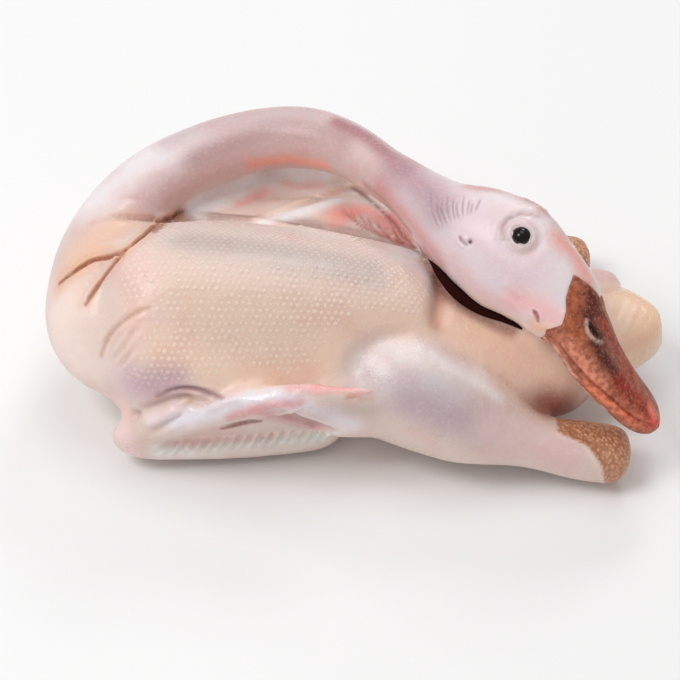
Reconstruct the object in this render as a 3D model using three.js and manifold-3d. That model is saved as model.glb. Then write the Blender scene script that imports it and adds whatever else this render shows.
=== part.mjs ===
// A whole plucked duck, raw, lying on its back. The neck loops from the shoulders round the
// far side and brings the head to rest on the belly, with the bill hanging past the vent.
// Both wings are folded at the wrist, and both legs end in the stump of the hock.
// Millimetres. +X runs from the shoulders to the tail, +Y to the far side, +Z up.

import * as THREE from 'three';
import { mergeVertices } from 'three/addons/utils/BufferGeometryUtils.js';
import Module from 'manifold-3d';

const wasm = await Module();
wasm.setup();

// Driving dimensions
const TRUNK_HALF_WIDTH = 47;
const TRUNK_HALF_DEPTH = 36;
const KEEL_RISE = 0.2;
const KEEL_LEAN = -12;
const KEEL_SPREAD = 26;
const NECK_RADIUS = 13;
const HEAD_HALF_WIDTH = 16;
const HEAD_HALF_DEPTH = 21;
const BILL_HALF_WIDTH = 13.5;
const SHANK_RADIUS = 9;
const HOCK_RADIUS = 12.5;
const WING_HALF_THICKNESS = 6.5;

// Where the middle of the bird lies in the sketch, taken off so that the origin is under it
const CENTRE = new THREE.Vector3(6.8, 23, 0);

const UP = [0, 0, 1];
// Towards the crown of the head, as it lies on its cheek
const CROWN = [0.72, 0.26, 0.64];
// Towards the ridge of the bill, which is rolled a little more upright than the head
const CULMEN = [0.7, -0.09, 0.71];

// One closed skin round a spine. A station is a point of the spine, the half-width and the
// half-depth of the section there, and the way that its depth points. The skin is a sphere
// whose axis is laid along the spine, with its two ends rounded off over the cap lengths.
function loft(stations, { around = 20, along = 24, caps = [0.12, 0.12], outline = ellipse } = {}) {
  const last = stations.length - 1;
  const spine = curveOf(stations.map(({ at }) => at));
  const sizes = curveOf(stations.map(({ wide, deep }) => [wide, deep, 0]));
  const depthWays = curveOf(stations.map(({ up = UP }) => up));

  const skin = merged(new THREE.SphereGeometry(1, around, along));
  const position = skin.getAttribute('position');
  const corner = new THREE.Vector3();
  for (let i = 0; i < position.count; i++) {
    corner.fromBufferAttribute(position, i);
    const t = (1 + corner.y) / 2;
    const forward = spine.getTangent(t);
    const side = new THREE.Vector3().crossVectors(forward, depthWays.getPoint(t)).normalize();
    const depthWay = new THREE.Vector3().crossVectors(side, forward);
    const size = sizes.getPoint(t);
    const angle = Math.atan2(corner.z, corner.x);
    const [across, down] = outline(angle, t * last);
    const round = Math.min(roundedEnd(t / caps[0]), roundedEnd((1 - t) / caps[1]));
    corner.copy(spine.getPoint(t))
      .addScaledVector(side, size.x * across * round)
      .addScaledVector(depthWay, size.y * down * round);
    position.setXYZ(i, corner.x, corner.y, corner.z);
  }
  return skin;
}

function curveOf(points) {
  return new THREE.CatmullRomCurve3(points.map((p) => new THREE.Vector3(...p)), false, 'centripetal');
}

function roundedEnd(s) {
  return s >= 1 ? 1 : Math.sqrt(Math.max(0, 1 - (1 - s) ** 2));
}

function merged(geometry) {
  geometry.deleteAttribute('normal');
  geometry.deleteAttribute('uv');
  return mergeVertices(geometry, 1e-4);
}

function ellipse(angle) {
  return [Math.cos(angle), Math.sin(angle)];
}

// A rounded box section: the power 2 is an ellipse, and larger powers are squarer
function squarish(power) {
  return (angle) => [Math.cos(angle), Math.sin(angle)]
    .map((c) => Math.sign(c) * Math.abs(c) ** (2 / power));
}

// The trunk: an oval with the ridge of the breastbone on top, which ends behind the breast
function trunkOutline(angle, station) {
  const keel = THREE.MathUtils.smoothstep(station, 0.2, 1.4)
    * (1 - THREE.MathUtils.smoothstep(station, 3.9, 4.7));
  const offTop = THREE.MathUtils.radToDeg(angle) - (90 + KEEL_LEAN);
  const rise = 1 + KEEL_RISE * keel * Math.exp(-((offTop / KEEL_SPREAD) ** 2));
  return [Math.cos(angle) * rise, Math.sin(angle) * rise];
}

function trunk() {
  const stretch = (x, y, z, widthShare, depthShare) => ({
    at: [x, y, z],
    wide: TRUNK_HALF_WIDTH * widthShare,
    deep: TRUNK_HALF_DEPTH * depthShare,
  });
  return loft([
    stretch(-106, -6, 40, 0.62, 0.8),
    stretch(-84, -1, 40, 0.94, 1.1),
    stretch(-52, 2, 39, 1.02, 1.12),
    stretch(-14, 4, 36, 0.96, 1.04),
    stretch(24, 6, 31, 0.88, 0.9),
    stretch(58, 8, 29, 0.84, 0.8),
    stretch(88, 7, 28, 0.78, 0.8),
    stretch(112, 9, 27, 0.46, 0.54),
  ], { around: 32, along: 36, caps: [0.16, 0.12], outline: trunkOutline });
}

// The neck and head are one skin, from inside the shoulders to the root of the bill
function neckAndHead() {
  const neck = (x, y, z, share = 1, turned = 0) => ({
    at: [x, y, z],
    wide: NECK_RADIUS * share,
    deep: NECK_RADIUS * share,
    up: UP.map((part, axis) => THREE.MathUtils.lerp(part, CROWN[axis], turned)),
  });
  const head = (x, y, z, widthShare, depthShare) => ({
    at: [x, y, z],
    wide: HEAD_HALF_WIDTH * widthShare,
    deep: HEAD_HALF_DEPTH * depthShare,
    up: CROWN,
  });
  return loft([
    neck(-64, -6, 39, 2.2),
    neck(-91, -1, 44, 2.15),
    neck(-98, 20, 50, 1.65),
    neck(-95, 43, 55, 1.3),
    neck(-81, 67, 59, 1.15),
    neck(-60, 81, 63, 1.08),
    neck(-36, 89, 66, 1.04),
    neck(-14, 87, 69, 1.04, 0.2),
    neck(4, 75, 72, 0.93, 0.45),
    neck(17.5, 58.5, 74.5, 0.86, 0.7),
    neck(29.5, 43, 77, 0.92, 0.9),
    head(43, 26, 77, 0.92, 0.78),
    head(55.6, 14.3, 78.5, 1.04, 1.0),
    head(67.4, 4.5, 77.1, 1.06, 1.11),
    head(79.3, -6.1, 73, 0.94, 0.94),
    head(89, -16.2, 67, 0.82, 0.79),
    head(96, -24, 58, 0.5, 0.5),
  ], { around: 22, along: 72, caps: [0.02, 0.04] });
}

function bill() {
  const slice = (x, y, z, widthShare, halfDepth) => ({
    at: [x, y, z],
    wide: BILL_HALF_WIDTH * widthShare,
    deep: halfDepth,
    up: CULMEN,
  });
  return loft([
    slice(85.6, -13.8, 70.6, 0.9, 11.4),
    slice(94, -22.1, 63.1, 0.98, 11.6),
    slice(100.4, -28, 53.2, 1, 9.6),
    slice(107, -33, 45.5, 1.04, 7.6),
    slice(115, -38.4, 38, 1, 6.2),
    slice(127, -45, 28.6, 0.86, 4.6),
  ], { around: 20, along: 20, caps: [0.1, 0.16], outline: squarish(2.4) });
}

// A leg from inside the flank along the thigh and drumstick to the hock. The far leg lies
// wider than the near one, with most of it under the neck and head.
function leg({ hip, thigh, drumstick, shank, hock, end, girth = 1 }) {
  const slice = (at, radius) => ({ at, wide: radius * girth, deep: radius * girth });
  return loft([
    slice(hip, 16),
    slice(thigh, 24),
    slice(drumstick, 20.5),
    slice(shank, SHANK_RADIUS * 1.25),
    slice(hock, HOCK_RADIUS),
    slice(end, HOCK_RADIUS * 0.9),
  ], { around: 20, along: 30, caps: [0.1, 0.07] });
}

const NEAR_LEG = {
  hip: [-2, -14, 36],
  thigh: [26, -26, 34],
  drumstick: [52, -36, 27],
  shank: [80, -43, 19],
  hock: [101, -44, 14.5],
  end: [117, -45, 13],
};

const FAR_LEG = {
  hip: [-8, 34, 34],
  thigh: [18, 44, 36],
  drumstick: [48, 56, 28],
  shank: [72, 64, 19],
  hock: [96, 69, 14],
  end: [110, 69.5, 13.5],
  girth: 0.94,
};

// A folded wing: the forearm runs from the elbow forward to the wrist, and the hand is
// turned back along it to its tip. The thumb is a short spike on the edge of the hand.
function wing({ elbow, forearm, wrist, palm, tip, thumb, bandHalfWidth, lean }) {
  const flat = squarish(2.4);
  const arm = loft([
    { at: elbow, wide: bandHalfWidth * 0.8, deep: WING_HALF_THICKNESS, up: lean },
    { at: forearm, wide: bandHalfWidth, deep: WING_HALF_THICKNESS, up: lean },
    { at: wrist, wide: bandHalfWidth * 0.95, deep: WING_HALF_THICKNESS * 1.2, up: lean },
  ], { around: 16, along: 18, caps: [0.16, 0.16], outline: flat });
  const hand = loft([
    { at: wrist, wide: 8, deep: WING_HALF_THICKNESS },
    { at: palm, wide: 6.5, deep: WING_HALF_THICKNESS },
    { at: tip, wide: 2.5, deep: 2.5 },
  ], { around: 14, along: 18, caps: [0.14, 0.06], outline: flat });
  const spike = loft([
    { at: wrist, wide: 4.5, deep: 4.5 },
    { at: thumb, wide: 2, deep: 2 },
  ], { around: 10, along: 10, caps: [0.2, 0.1] });
  return [arm, hand, spike];
}

const NEAR_WING = {
  elbow: [2, -27, 9],
  forearm: [-42, -31.5, 10],
  wrist: [-93, -36, 14],
  palm: [-36, -48, 47],
  tip: [15, -50, 56],
  thumb: [-60, -45, 46.5],
  bandHalfWidth: 10,
  lean: [0, -0.3, 1],
};

const FAR_WING = {
  elbow: [21, 84, 37],
  forearm: [-28, 87, 40],
  wrist: [-74, 66, 42],
  palm: [-26, 71, 39],
  tip: [18, 76, 43],
  thumb: [-30, 60, 36],
  bandHalfWidth: 14,
  lean: [0, -0.5, 0.8],
};

// The loose skin that joins a wing to the thigh, behind the elbow
function flankWeb({ front, rear, radius }) {
  return loft([
    { at: front, wide: radius, deep: radius },
    { at: rear, wide: radius, deep: radius },
  ], { around: 16, along: 14, caps: [0.4, 0.4] });
}

const NEAR_WEB = { front: [-18, -34, 36], rear: [26, -30, 30], radius: 16 };
const FAR_WEB = { front: [-68, 53, 30], rear: [38, 64, 29], radius: 23 };

// The tail is a blunt wedge, with a lobe of skin along its far edge
function tail() {
  const slice = (x, y, z, halfWidth, halfDepth) => ({ at: [x, y, z], wide: halfWidth, deep: halfDepth });
  const wedge = loft([
    slice(84, 10, 28, 22, 15),
    slice(104, 11, 28, 25, 14),
    slice(118, 12, 28, 20.5, 12.5),
    slice(127, 12, 28.5, 14, 11),
    slice(133.8, 12.5, 29, 6, 9),
  ], { around: 20, along: 20, caps: [0.1, 0.03], outline: squarish(3) });
  const lobe = loft([
    slice(98, 39, 30, 7, 7),
    slice(110, 37, 31, 7, 7),
    slice(119, 34, 31, 5.5, 5.5),
  ], { around: 12, along: 10, caps: [0.3, 0.3] });
  return [wedge, lobe];
}

function solidOf(geometry) {
  return new wasm.Manifold(new wasm.Mesh({
    numProp: 3,
    vertProperties: geometry.getAttribute('position').array,
    triVerts: new Uint32Array(geometry.index.array),
  }));
}

// What would sink below the surface the bird lies on is pressed flat
function pressedFlat(solid) {
  const slab = new THREE.BoxGeometry(600, 600, 60).translate(0, 0, -30);
  return solid.subtract(solidOf(merged(slab)));
}

function geometryOf(solid) {
  const { vertProperties, triVerts } = solid.getMesh();
  const geometry = new THREE.BufferGeometry();
  geometry.setAttribute('position', new THREE.BufferAttribute(vertProperties, 3));
  geometry.setIndex(new THREE.BufferAttribute(triVerts, 1));
  return geometry;
}

function duck() {
  const forms = [
    trunk(),
    neckAndHead(),
    bill(),
    leg(NEAR_LEG),
    leg(FAR_LEG),
    ...wing(NEAR_WING),
    ...wing(FAR_WING),
    flankWeb(NEAR_WEB),
    flankWeb(FAR_WEB),
    ...tail(),
  ];
  const whole = forms.map(solidOf).reduce((joined, form) => joined.add(form));
  const skin = new THREE.MeshStandardMaterial({ color: 0xe9cfc4, roughness: 0.45, metalness: 0 });
  const mesh = new THREE.Mesh(geometryOf(pressedFlat(whole)), skin);
  mesh.name = 'duck';
  mesh.position.copy(CENTRE).negate();
  return mesh;
}

const bird = new THREE.Group();
bird.add(duck());

export default bird;
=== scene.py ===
# A raw whole duck, plucked, on its back: moist skin, follicles, folded wings, horny bill.
# Lengths named in millimetres are turned into metres by MM. Places come from the frame, or
# from named pixels of the 680 x 680 picture that are cast onto the skin.

import math

import bmesh
import bpy
import numpy as np
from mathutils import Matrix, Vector
from mathutils.bvhtree import BVHTree


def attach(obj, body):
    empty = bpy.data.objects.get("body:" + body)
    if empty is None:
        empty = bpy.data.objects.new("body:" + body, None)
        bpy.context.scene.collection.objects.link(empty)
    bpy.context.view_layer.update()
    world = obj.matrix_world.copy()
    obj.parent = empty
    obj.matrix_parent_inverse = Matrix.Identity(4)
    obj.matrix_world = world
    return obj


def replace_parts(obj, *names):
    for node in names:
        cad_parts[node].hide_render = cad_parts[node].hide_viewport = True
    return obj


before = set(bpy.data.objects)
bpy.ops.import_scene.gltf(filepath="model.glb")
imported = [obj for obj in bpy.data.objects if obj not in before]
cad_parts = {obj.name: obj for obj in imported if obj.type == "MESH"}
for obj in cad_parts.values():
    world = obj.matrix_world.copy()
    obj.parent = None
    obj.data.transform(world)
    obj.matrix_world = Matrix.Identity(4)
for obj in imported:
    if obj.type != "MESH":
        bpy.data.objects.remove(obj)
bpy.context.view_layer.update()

MM = 0.001
PICTURE_SIZE = 680

# The camera: where the photograph was taken from
VIEW_ELEVATION = math.radians(45)
VIEW_DISTANCE = 0.9
FOCAL_PIXELS = 2200
SENSOR_WIDTH = 36.0
VIEW_TARGET = Vector((-6.8, -24.0, 35.0)) * MM

# The skin
WELD = 1e-6
VOXEL_SIZE = 1.9 * MM
SMOOTHING_ROUNDS = 10

# Lines on the skin: spans between marks, spacing of points, and the gap that is a leap elsewhere
LINE_SPANS = 8
LINE_STEP = 0.5 * MM
LEAP = 6 * MM
# How far from the camera the edge nearest to a pixel is looked for: start, end and step
EDGE_SEARCH = (0.78, 1.02, 0.004)
# A stroke, in its own widths: how far it reaches, and where its lip lies
STROKE_REACH = 3.2
LIP_PLACE = 1.9


def view_back():
    """From the target towards the camera."""
    return Vector((0, -math.cos(VIEW_ELEVATION), math.sin(VIEW_ELEVATION)))


def camera_place():
    return VIEW_TARGET + view_back() * VIEW_DISTANCE


def pixel_ray(u, v):
    """The direction from the camera through a pixel of the picture."""
    right = (u - PICTURE_SIZE / 2) / FOCAL_PIXELS
    up = (PICTURE_SIZE / 2 - v) / FOCAL_PIXELS
    cos_e, sin_e = math.cos(VIEW_ELEVATION), math.sin(VIEW_ELEVATION)
    return Vector((right, cos_e + up * sin_e, -sin_e + up * cos_e)).normalized()


def seen_at(points):
    """The pixels at which some points are seen."""
    away = points - np.array(camera_place())
    depth = away @ -np.array(view_back())
    up = away @ np.array((0, math.sin(VIEW_ELEVATION), math.cos(VIEW_ELEVATION)))
    return (
        PICTURE_SIZE / 2 + FOCAL_PIXELS * away[:, 0] / depth,
        PICTURE_SIZE / 2 - FOCAL_PIXELS * up / depth,
    )


def make_camera():
    data = bpy.data.cameras.new("camera")
    data.sensor_width = SENSOR_WIDTH
    data.lens = SENSOR_WIDTH * FOCAL_PIXELS / PICTURE_SIZE
    data.clip_start = 0.01
    data.clip_end = 20
    camera = bpy.data.objects.new("camera", data)
    camera.location = camera_place()
    camera.rotation_mode = "QUATERNION"
    camera.rotation_quaternion = (-view_back()).to_track_quat("-Z", "Y")
    bpy.context.scene.collection.objects.link(camera)
    bpy.context.scene.camera = camera


def linked(name, mesh):
    """A new piece in the scene."""
    piece = bpy.data.objects.new(name, mesh)
    bpy.context.scene.collection.objects.link(piece)
    return piece


def write_tint(mesh, tint):
    """Stores a colour for each point of a mesh."""
    opaque = np.concatenate([tint, np.ones((len(tint), 1))], axis=1)
    stored = mesh.attributes.new("tint", "FLOAT_COLOR", "POINT")
    stored.data.foreach_set("color", opaque.astype(np.float32).ravel())


def write_number(mesh, name, numbers):
    """Stores a number for each point of a mesh, under a name."""
    stored = mesh.attributes.new(name, "FLOAT", "POINT")
    stored.data.foreach_set("value", numbers.astype(np.float32))


def with_modifiers_applied(piece):
    """The piece's shape with its modifiers, as its own plain mesh."""
    graph = bpy.context.evaluated_depsgraph_get()
    mesh = bpy.data.meshes.new_from_object(piece.evaluated_get(graph))
    piece.modifiers.clear()
    piece.data = mesh
    return piece


# Clay: a mesh as arrays, which strokes under pixels or through points shape and paint


def rounded_line(marks, spans=LINE_SPANS):
    """A smooth line through some pixels or points."""
    p = [np.array(m, float) for m in marks]
    if len(p) == 1:
        return np.array(p)
    p = [2 * p[0] - p[1], *p, 2 * p[-1] - p[-2]]
    line = []
    for before, here, after, beyond in zip(p, p[1:], p[2:], p[3:]):
        for t in np.arange(spans) / spans:
            line.append(
                here
                + (after - before) * t / 2
                + (2 * before - 5 * here + 4 * after - beyond) * t**2 / 2
                + (3 * here - before - 3 * after + beyond) * t**3 / 2
            )
    line.append(p[-2])
    return np.array(line)


def filled(points, normals):
    """A line with points added where it is sparse, but not where it leaps to another surface."""
    steps = np.linalg.norm(np.diff(points, axis=0), axis=1)
    counts = np.where(steps < LEAP, np.ceil(steps / LINE_STEP), 1).astype(int)
    order = np.arange(len(points))
    at = np.concatenate([i + np.arange(n) / max(n, 1) for i, n in enumerate(counts)] + [order[-1:]])
    columns = np.concatenate([points, normals], axis=1).T
    dense = np.array([np.interp(at, order, column) for column in columns]).T
    return dense[:, :3], dense[:, 3:]


def linear(colour):
    """A display colour, such as "d8c1b2", as linear red, green and blue."""
    shown = np.array([int(colour[i : i + 2], 16) for i in (0, 2, 4)]) / 255
    return np.where(shown <= 0.04045, shown / 12.92, ((shown + 0.055) / 1.055) ** 2.4)


def eased(x):
    """0 below 0, 1 above 1, and a smooth rise between."""
    x = np.clip(x, 0, 1)
    return x * x * (3 - 2 * x)


def end_fade(share, taper):
    """1 along a line, falling to 0 at both ends over the share of it that tapers."""
    if not taper:
        return 1
    return eased(share / taper) * eased((1 - share) / taper)


class Clay:
    """A closed mesh, as arrays, while it is being shaped and painted."""

    def __init__(self, piece, tint):
        self.piece = piece
        self.base = tint
        mesh = piece.data
        count = len(mesh.vertices)
        co = np.empty(count * 3)
        mesh.vertices.foreach_get("co", co)
        self.co = co.reshape(-1, 3)
        edges = np.empty(len(mesh.edges) * 2, np.int64)
        mesh.edges.foreach_get("vertices", edges)
        self.edges = edges.reshape(-1, 2)
        self.degree = np.maximum(np.bincount(edges, minlength=count), 1)
        mesh.calc_loop_triangles()
        triangles = np.empty(len(mesh.loop_triangles) * 3, np.int64)
        mesh.loop_triangles.foreach_get("vertices", triangles)
        self.triangles = triangles.reshape(-1, 3)
        self.tint = np.tile(linear(tint), (count, 1))
        self.wet = np.zeros(count)
        self.scaly = np.zeros(count)
        self.refresh()

    def refresh(self):
        """Works out the normals and the tree for ray casting again."""
        a, b, c = (self.co[self.triangles[:, i]] for i in range(3))
        face_normals = np.cross(b - a, c - a)
        self.normals = np.zeros_like(self.co)
        for corner in self.triangles.T:
            for axis in range(3):
                self.normals[:, axis] += np.bincount(
                    corner, face_normals[:, axis], len(self.co)
                )
        self.normals /= np.linalg.norm(self.normals, axis=1, keepdims=True) + 1e-12
        self.tree = BVHTree.FromPolygons(self.co.tolist(), self.triangles.tolist())

    def average(self, values):
        """Each point's mean over its neighbours."""
        out = np.zeros_like(values)
        a, b = self.edges.T
        for axis in range(values.shape[1]):
            column = values[:, axis]
            out[:, axis] = np.bincount(a, column[b], len(column))
            out[:, axis] += np.bincount(b, column[a], len(column))
        return out / self.degree[:, None]

    def smooth(self, rounds, share=0.62, back=0.0, where=1.0):
        """Rounds of smoothing, each with a step back that keeps the size."""
        weight = np.ones(len(self.co)) * where
        for _ in range(rounds):
            self.co += (self.average(self.co) - self.co) * (share * weight)[:, None]
            self.co -= (self.average(self.co) - self.co) * (back * weight)[:, None]

    def cast(self, pixel):
        """The point and the normal of the surface under a pixel, or at the edge nearest to it."""
        start, along = camera_place(), pixel_ray(*pixel)
        point, _, face, _ = self.tree.ray_cast(start, along)
        if point is None:
            steps = np.arange(*EDGE_SEARCH)
            found = [self.tree.find_nearest(start + along * step) for step in steps]
            point, _, face, _ = min(found, key=lambda near: near[3])
        return np.array(point), self.normals[self.triangles[face][0]]

    def line(self, marks):
        """A dense line on the surface under some pixels, or through points inside."""
        rounded = rounded_line(marks)
        if rounded.shape[1] == 3:
            return rounded, np.zeros_like(rounded)
        found = [self.cast(mark) for mark in rounded]
        return filled(np.array([f[0] for f in found]), np.array([f[1] for f in found]))

    def near(self, marks, reach, facing=-2.0):
        """The points within reach of a line: their numbers, distances and share along it."""
        points, normals = self.line(marks)
        low, high = points.min(0) - reach, points.max(0) + reach
        inside = np.nonzero(((self.co > low) & (self.co < high)).all(1))[0]
        gaps = np.linalg.norm(self.co[inside, None] - points[None], axis=2)
        nearest = gaps.argmin(1)
        distance = gaps[np.arange(len(inside)), nearest]
        turned = (self.normals[inside] * normals[nearest]).sum(1)
        kept = (distance < reach) & (turned > facing)
        return inside[kept], distance[kept], nearest[kept] / max(1, len(points) - 1)

    def stroke(self, marks, width, height, lip=0.0, taper=0.25, facing=-0.2):
        """Raises the surface along a line, or cuts a crease in it if height is negative."""
        index, distance, share = self.near(marks, width * STROKE_REACH, facing)
        profile = np.exp(-((distance / width) ** 2))
        profile -= lip * np.exp(-((distance / width - LIP_PLACE) ** 2))
        profile *= end_fade(share, taper)
        self.co[index] += self.normals[index] * (height * profile)[:, None]

    def paint(self, marks, reach, colour, strength=1.0, facing=-0.3, taper=0.0):
        """Tints the surface along a line, fully on the line and softly out to reach."""
        index, distance, share = self.near(marks, reach, facing)
        cover = strength * eased(1 - distance / reach) * end_fade(share, taper)
        self.tint[index] += (linear(colour) - self.tint[index]) * cover[:, None]

    def moisten(self, marks, reach, strength=1.0):
        """Wets the surface along a line, fully on the line and less out to reach."""
        index, distance, _ = self.near(marks, reach)
        self.wet[index] = np.maximum(self.wet[index], strength * eased(1 - distance / reach))

    def soften(self, marks, reach, rounds=3):
        """Smooths the surface along a line, fully near it and less out to reach."""
        where = np.zeros(len(self.co))
        index, distance, _ = self.near(marks, reach)
        where[index] = eased(1.5 - 1.5 * distance / reach)
        self.smooth(rounds, share=0.5, where=where)

    def finish(self):
        """Writes the points and the paint back to the piece."""
        mesh = self.piece.data
        mesh.vertices.foreach_set("co", self.co.ravel())
        write_tint(mesh, self.tint)
        write_number(mesh, "wet", self.wet)
        write_number(mesh, "scaly", self.scaly)
        mesh.polygons.foreach_set("use_smooth", [True] * len(mesh.polygons))
        mesh.update()
        return self.piece


# The skin: the solid of the bird, made fine and smooth

# The middle of the neck, head and bill, from the shoulders to the tip of the bill
NECK_LINE = [
    (-105, -3, 50), (-102, 20, 55), (-88, 44, 59), (-67, 58, 63), (-43, 66, 66), (-21, 64, 69),
    (-3, 51, 71), (10, 34, 73), (22, 18, 76),
]
HEAD_LINE = [(36, 3, 77), (48, -9, 78), (59, -19, 76), (70, -30, 71), (80, -40, 65)]
BILL_LINE = [(80, -40, 65), (86, -45, 62), (94, -51, 54), (102, -56, 46), (110, -61, 38), (118, -66, 30)]


def in_metres(points):
    return [tuple(c * MM for c in point) for point in points]


def distances_to_line(co, points):
    """How far some places are from a line, which is given in millimetres."""
    line = rounded_line(in_metres(points), 4)
    return np.linalg.norm(co[:, None] - line[None], axis=2).min(1)


def solid_copy(name):
    """The bird's solid as a new piece of small even faces."""
    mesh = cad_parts["duck"].data.copy()
    form = bmesh.new()
    form.from_mesh(mesh)
    bmesh.ops.remove_doubles(form, verts=form.verts, dist=WELD)
    form.to_mesh(mesh)
    form.free()
    mesh.materials.clear()
    piece = linked(name, mesh)
    remesh = piece.modifiers.new("fine", "REMESH")
    remesh.mode = "VOXEL"
    remesh.voxel_size = VOXEL_SIZE
    return with_modifiers_applied(piece)


def finer_near(clay, lines, reach):
    """The clay with every edge near some lines cut in two."""
    close = np.zeros(len(clay.co), bool)
    for marks in lines:
        close[clay.near(marks, reach)[0]] = True
    mesh = clay.piece.data
    mesh.vertices.foreach_set("co", clay.co.ravel())
    form = bmesh.new()
    form.from_mesh(mesh)
    form.verts.ensure_lookup_table()
    chosen = [e for e in form.edges if all(close[v.index] for v in e.verts)]
    bmesh.ops.subdivide_edges(form, edges=chosen, cuts=1, use_grid_fill=True)
    form.to_mesh(mesh)
    form.free()
    finer = Clay(clay.piece, clay.base)
    finer.smooth(2, share=0.5, back=0.35)
    finer.refresh()
    return finer


def make_skin():
    clay = Clay(solid_copy("duck_skin"), "e6cfc4")
    clay.smooth(SMOOTHING_ROUNDS, back=0.3)
    clay.refresh()
    # Finer in turn near these lines, out to so many millimetres, where small relief will come
    finer_areas = [
        ([in_metres(HEAD_LINE + BILL_LINE[1:])], 21),
        ([NECK_FOLD, BREAST_EDGE, HAND_TOP, HAND_UNDER, WEB_EDGE], 7),
        ([PLUME_MIDDLE], 8),
        ([HEAD_GAP, FAR_FOLD, WING_PIT_ARC], 5),
        ([THIGH_WRINKLE_TOPS, THIGH_WRINKLE_FEET], 6),
        ([*WRINKLES_BY_SHOULDER, SHANK_CUFF, KEEL_BACK], 4),
        ([NECK_FOLD, BREAST_EDGE], 2.6),
        ([NAPE_TOPS, NAPE_FEET, [EAR], [EYE], MOUTH_SLIT], 9),
        ([PLUME_MIDDLE], 7),
    ]
    for lines, reach in finer_areas:
        clay = finer_near(clay, lines, reach * MM)
    return clay


# Shapes: folds, creases and ridges of the skin, under named pixels of the picture. A stroke is
# (line of pixels, width in millimetres, height in millimetres, how it is laid)


def lay(clay, strokes):
    """Makes some named strokes, one after another."""
    for line, width, height, how in strokes.values():
        clay.stroke(line, width * MM, height * MM, **how)


def ring(centre, half_wide, half_high, turn=0.0, marks=16):
    """Pixels round a closed oval, the first one given again at the end."""
    turn = math.radians(turn)
    cos_t, sin_t = math.cos(turn), math.sin(turn)
    pixels = []
    for k in range(marks + 1):
        angle = math.tau * k / marks
        x, y = half_wide * math.cos(angle), half_high * math.sin(angle)
        pixels.append((centre[0] + x * cos_t - y * sin_t, centre[1] + x * sin_t + y * cos_t))
    return pixels


def between(start, end, share):
    """The pixel at a share of the way from one to another."""
    return tuple(a + (b - a) * share for a, b in zip(start, end))


NECK_FOLD = [(174, 216), (158, 224), (143, 237), (127, 250), (111, 257), (93, 261), (77, 270), (60, 283)]
BREAST_EDGE = [(126, 250), (115, 264), (104, 278), (94, 292), (86, 304)]
UPPER_FOLD = [(92, 223), (112, 218), (131, 218), (150, 220), (164, 222)]
NECK_RIDGE = [(160, 223), (171, 216), (182, 211)]
FOLD_SOFT = 4 * MM
DEEP_FOLDS = {
    "neck fold": (NECK_FOLD, 1.1, -3, {"lip": 0.35, "taper": 0.2}),
    "breast edge": (BREAST_EDGE, 1, -2.2, {"lip": 0.35}),
}
NECK_BASE_STROKES = {
    "upper fold": (UPPER_FOLD, 1.3, -1.9, {"lip": 0.5}),
    "shallow fold": ([(108, 204), (128, 198), (145, 202)], 1.5, -0.9, {"lip": 0.5}),
    "swell between": ([(118, 240), (104, 247), (88, 250)], 2.6, 1, {}),
}


def shape_neck_base(skin):
    skin.stroke(NECK_RIDGE, 2.8 * MM, 2.4 * MM, taper=0)
    skin.refresh()
    lay(skin, DEEP_FOLDS)
    skin.soften(NECK_FOLD, FOLD_SOFT)
    skin.soften(BREAST_EDGE, FOLD_SOFT)
    lay(skin, NECK_BASE_STROKES)
    skin.refresh()


WRINKLES_BY_SHOULDER = [
    [(101, 356), (104, 348), (110, 336), (118, 326), (128, 318), (140, 311), (149, 307)],
    [(110, 363), (119, 354), (127, 343), (134, 333), (143, 327)],
    [(117, 368), (127, 358), (136, 347)],
]
WING_PIT_ARC = [(158, 396), (171, 390), (184, 388), (197, 389), (210, 393), (222, 398)]
WING_TOP_GAP = [(136, 413), (158, 405), (182, 398), (200, 402), (222, 393)]
SHOULDER_STROKES = {
    "breast dent": ([(144, 268), (143, 285)], 1.2, -0.6, {"lip": 0.5}),
    "wing pit": (WING_PIT_ARC, 1.1, -1.6, {"lip": 0.4}),
    "gap over the wing": (WING_TOP_GAP, 2.2, -3, {"taper": 0.2, "facing": 0.3}),
    "elbow hollow": ([(130, 415), (142, 415)], 1.8, -3, {}),
}


def shape_shoulder(skin):
    for wrinkle in WRINKLES_BY_SHOULDER:
        skin.stroke(wrinkle, 1.1 * MM, -1.1 * MM, lip=0.8)
        skin.soften(wrinkle, FOLD_SOFT)
    lay(skin, SHOULDER_STROKES)
    skin.refresh()


KEEL = [(176, 216), (210, 217), (260, 222), (300, 229), (350, 239), (400, 250), (428, 261)]
KEEL_BACK = [(178, 212), (212, 213), (262, 218), (300, 225), (350, 235), (400, 246), (428, 256)]
KEEL_SLOPE = [(190, 216), (240, 217), (270, 218), (310, 223), (350, 230), (385, 239), (410, 247)]
BREAST_END = [(439, 268), (441, 285), (440, 302), (437, 318), (432, 332)]


def shape_breast(skin):
    skin.stroke(KEEL, 3.2 * MM, 1.5 * MM, taper=0.12)
    skin.stroke(KEEL_BACK, 1.2 * MM, -0.9 * MM, taper=0.12)
    skin.soften(KEEL_BACK, FOLD_SOFT, 2)
    skin.stroke(BREAST_END, 3.6 * MM, -3 * MM, taper=0.3)
    skin.refresh()


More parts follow.
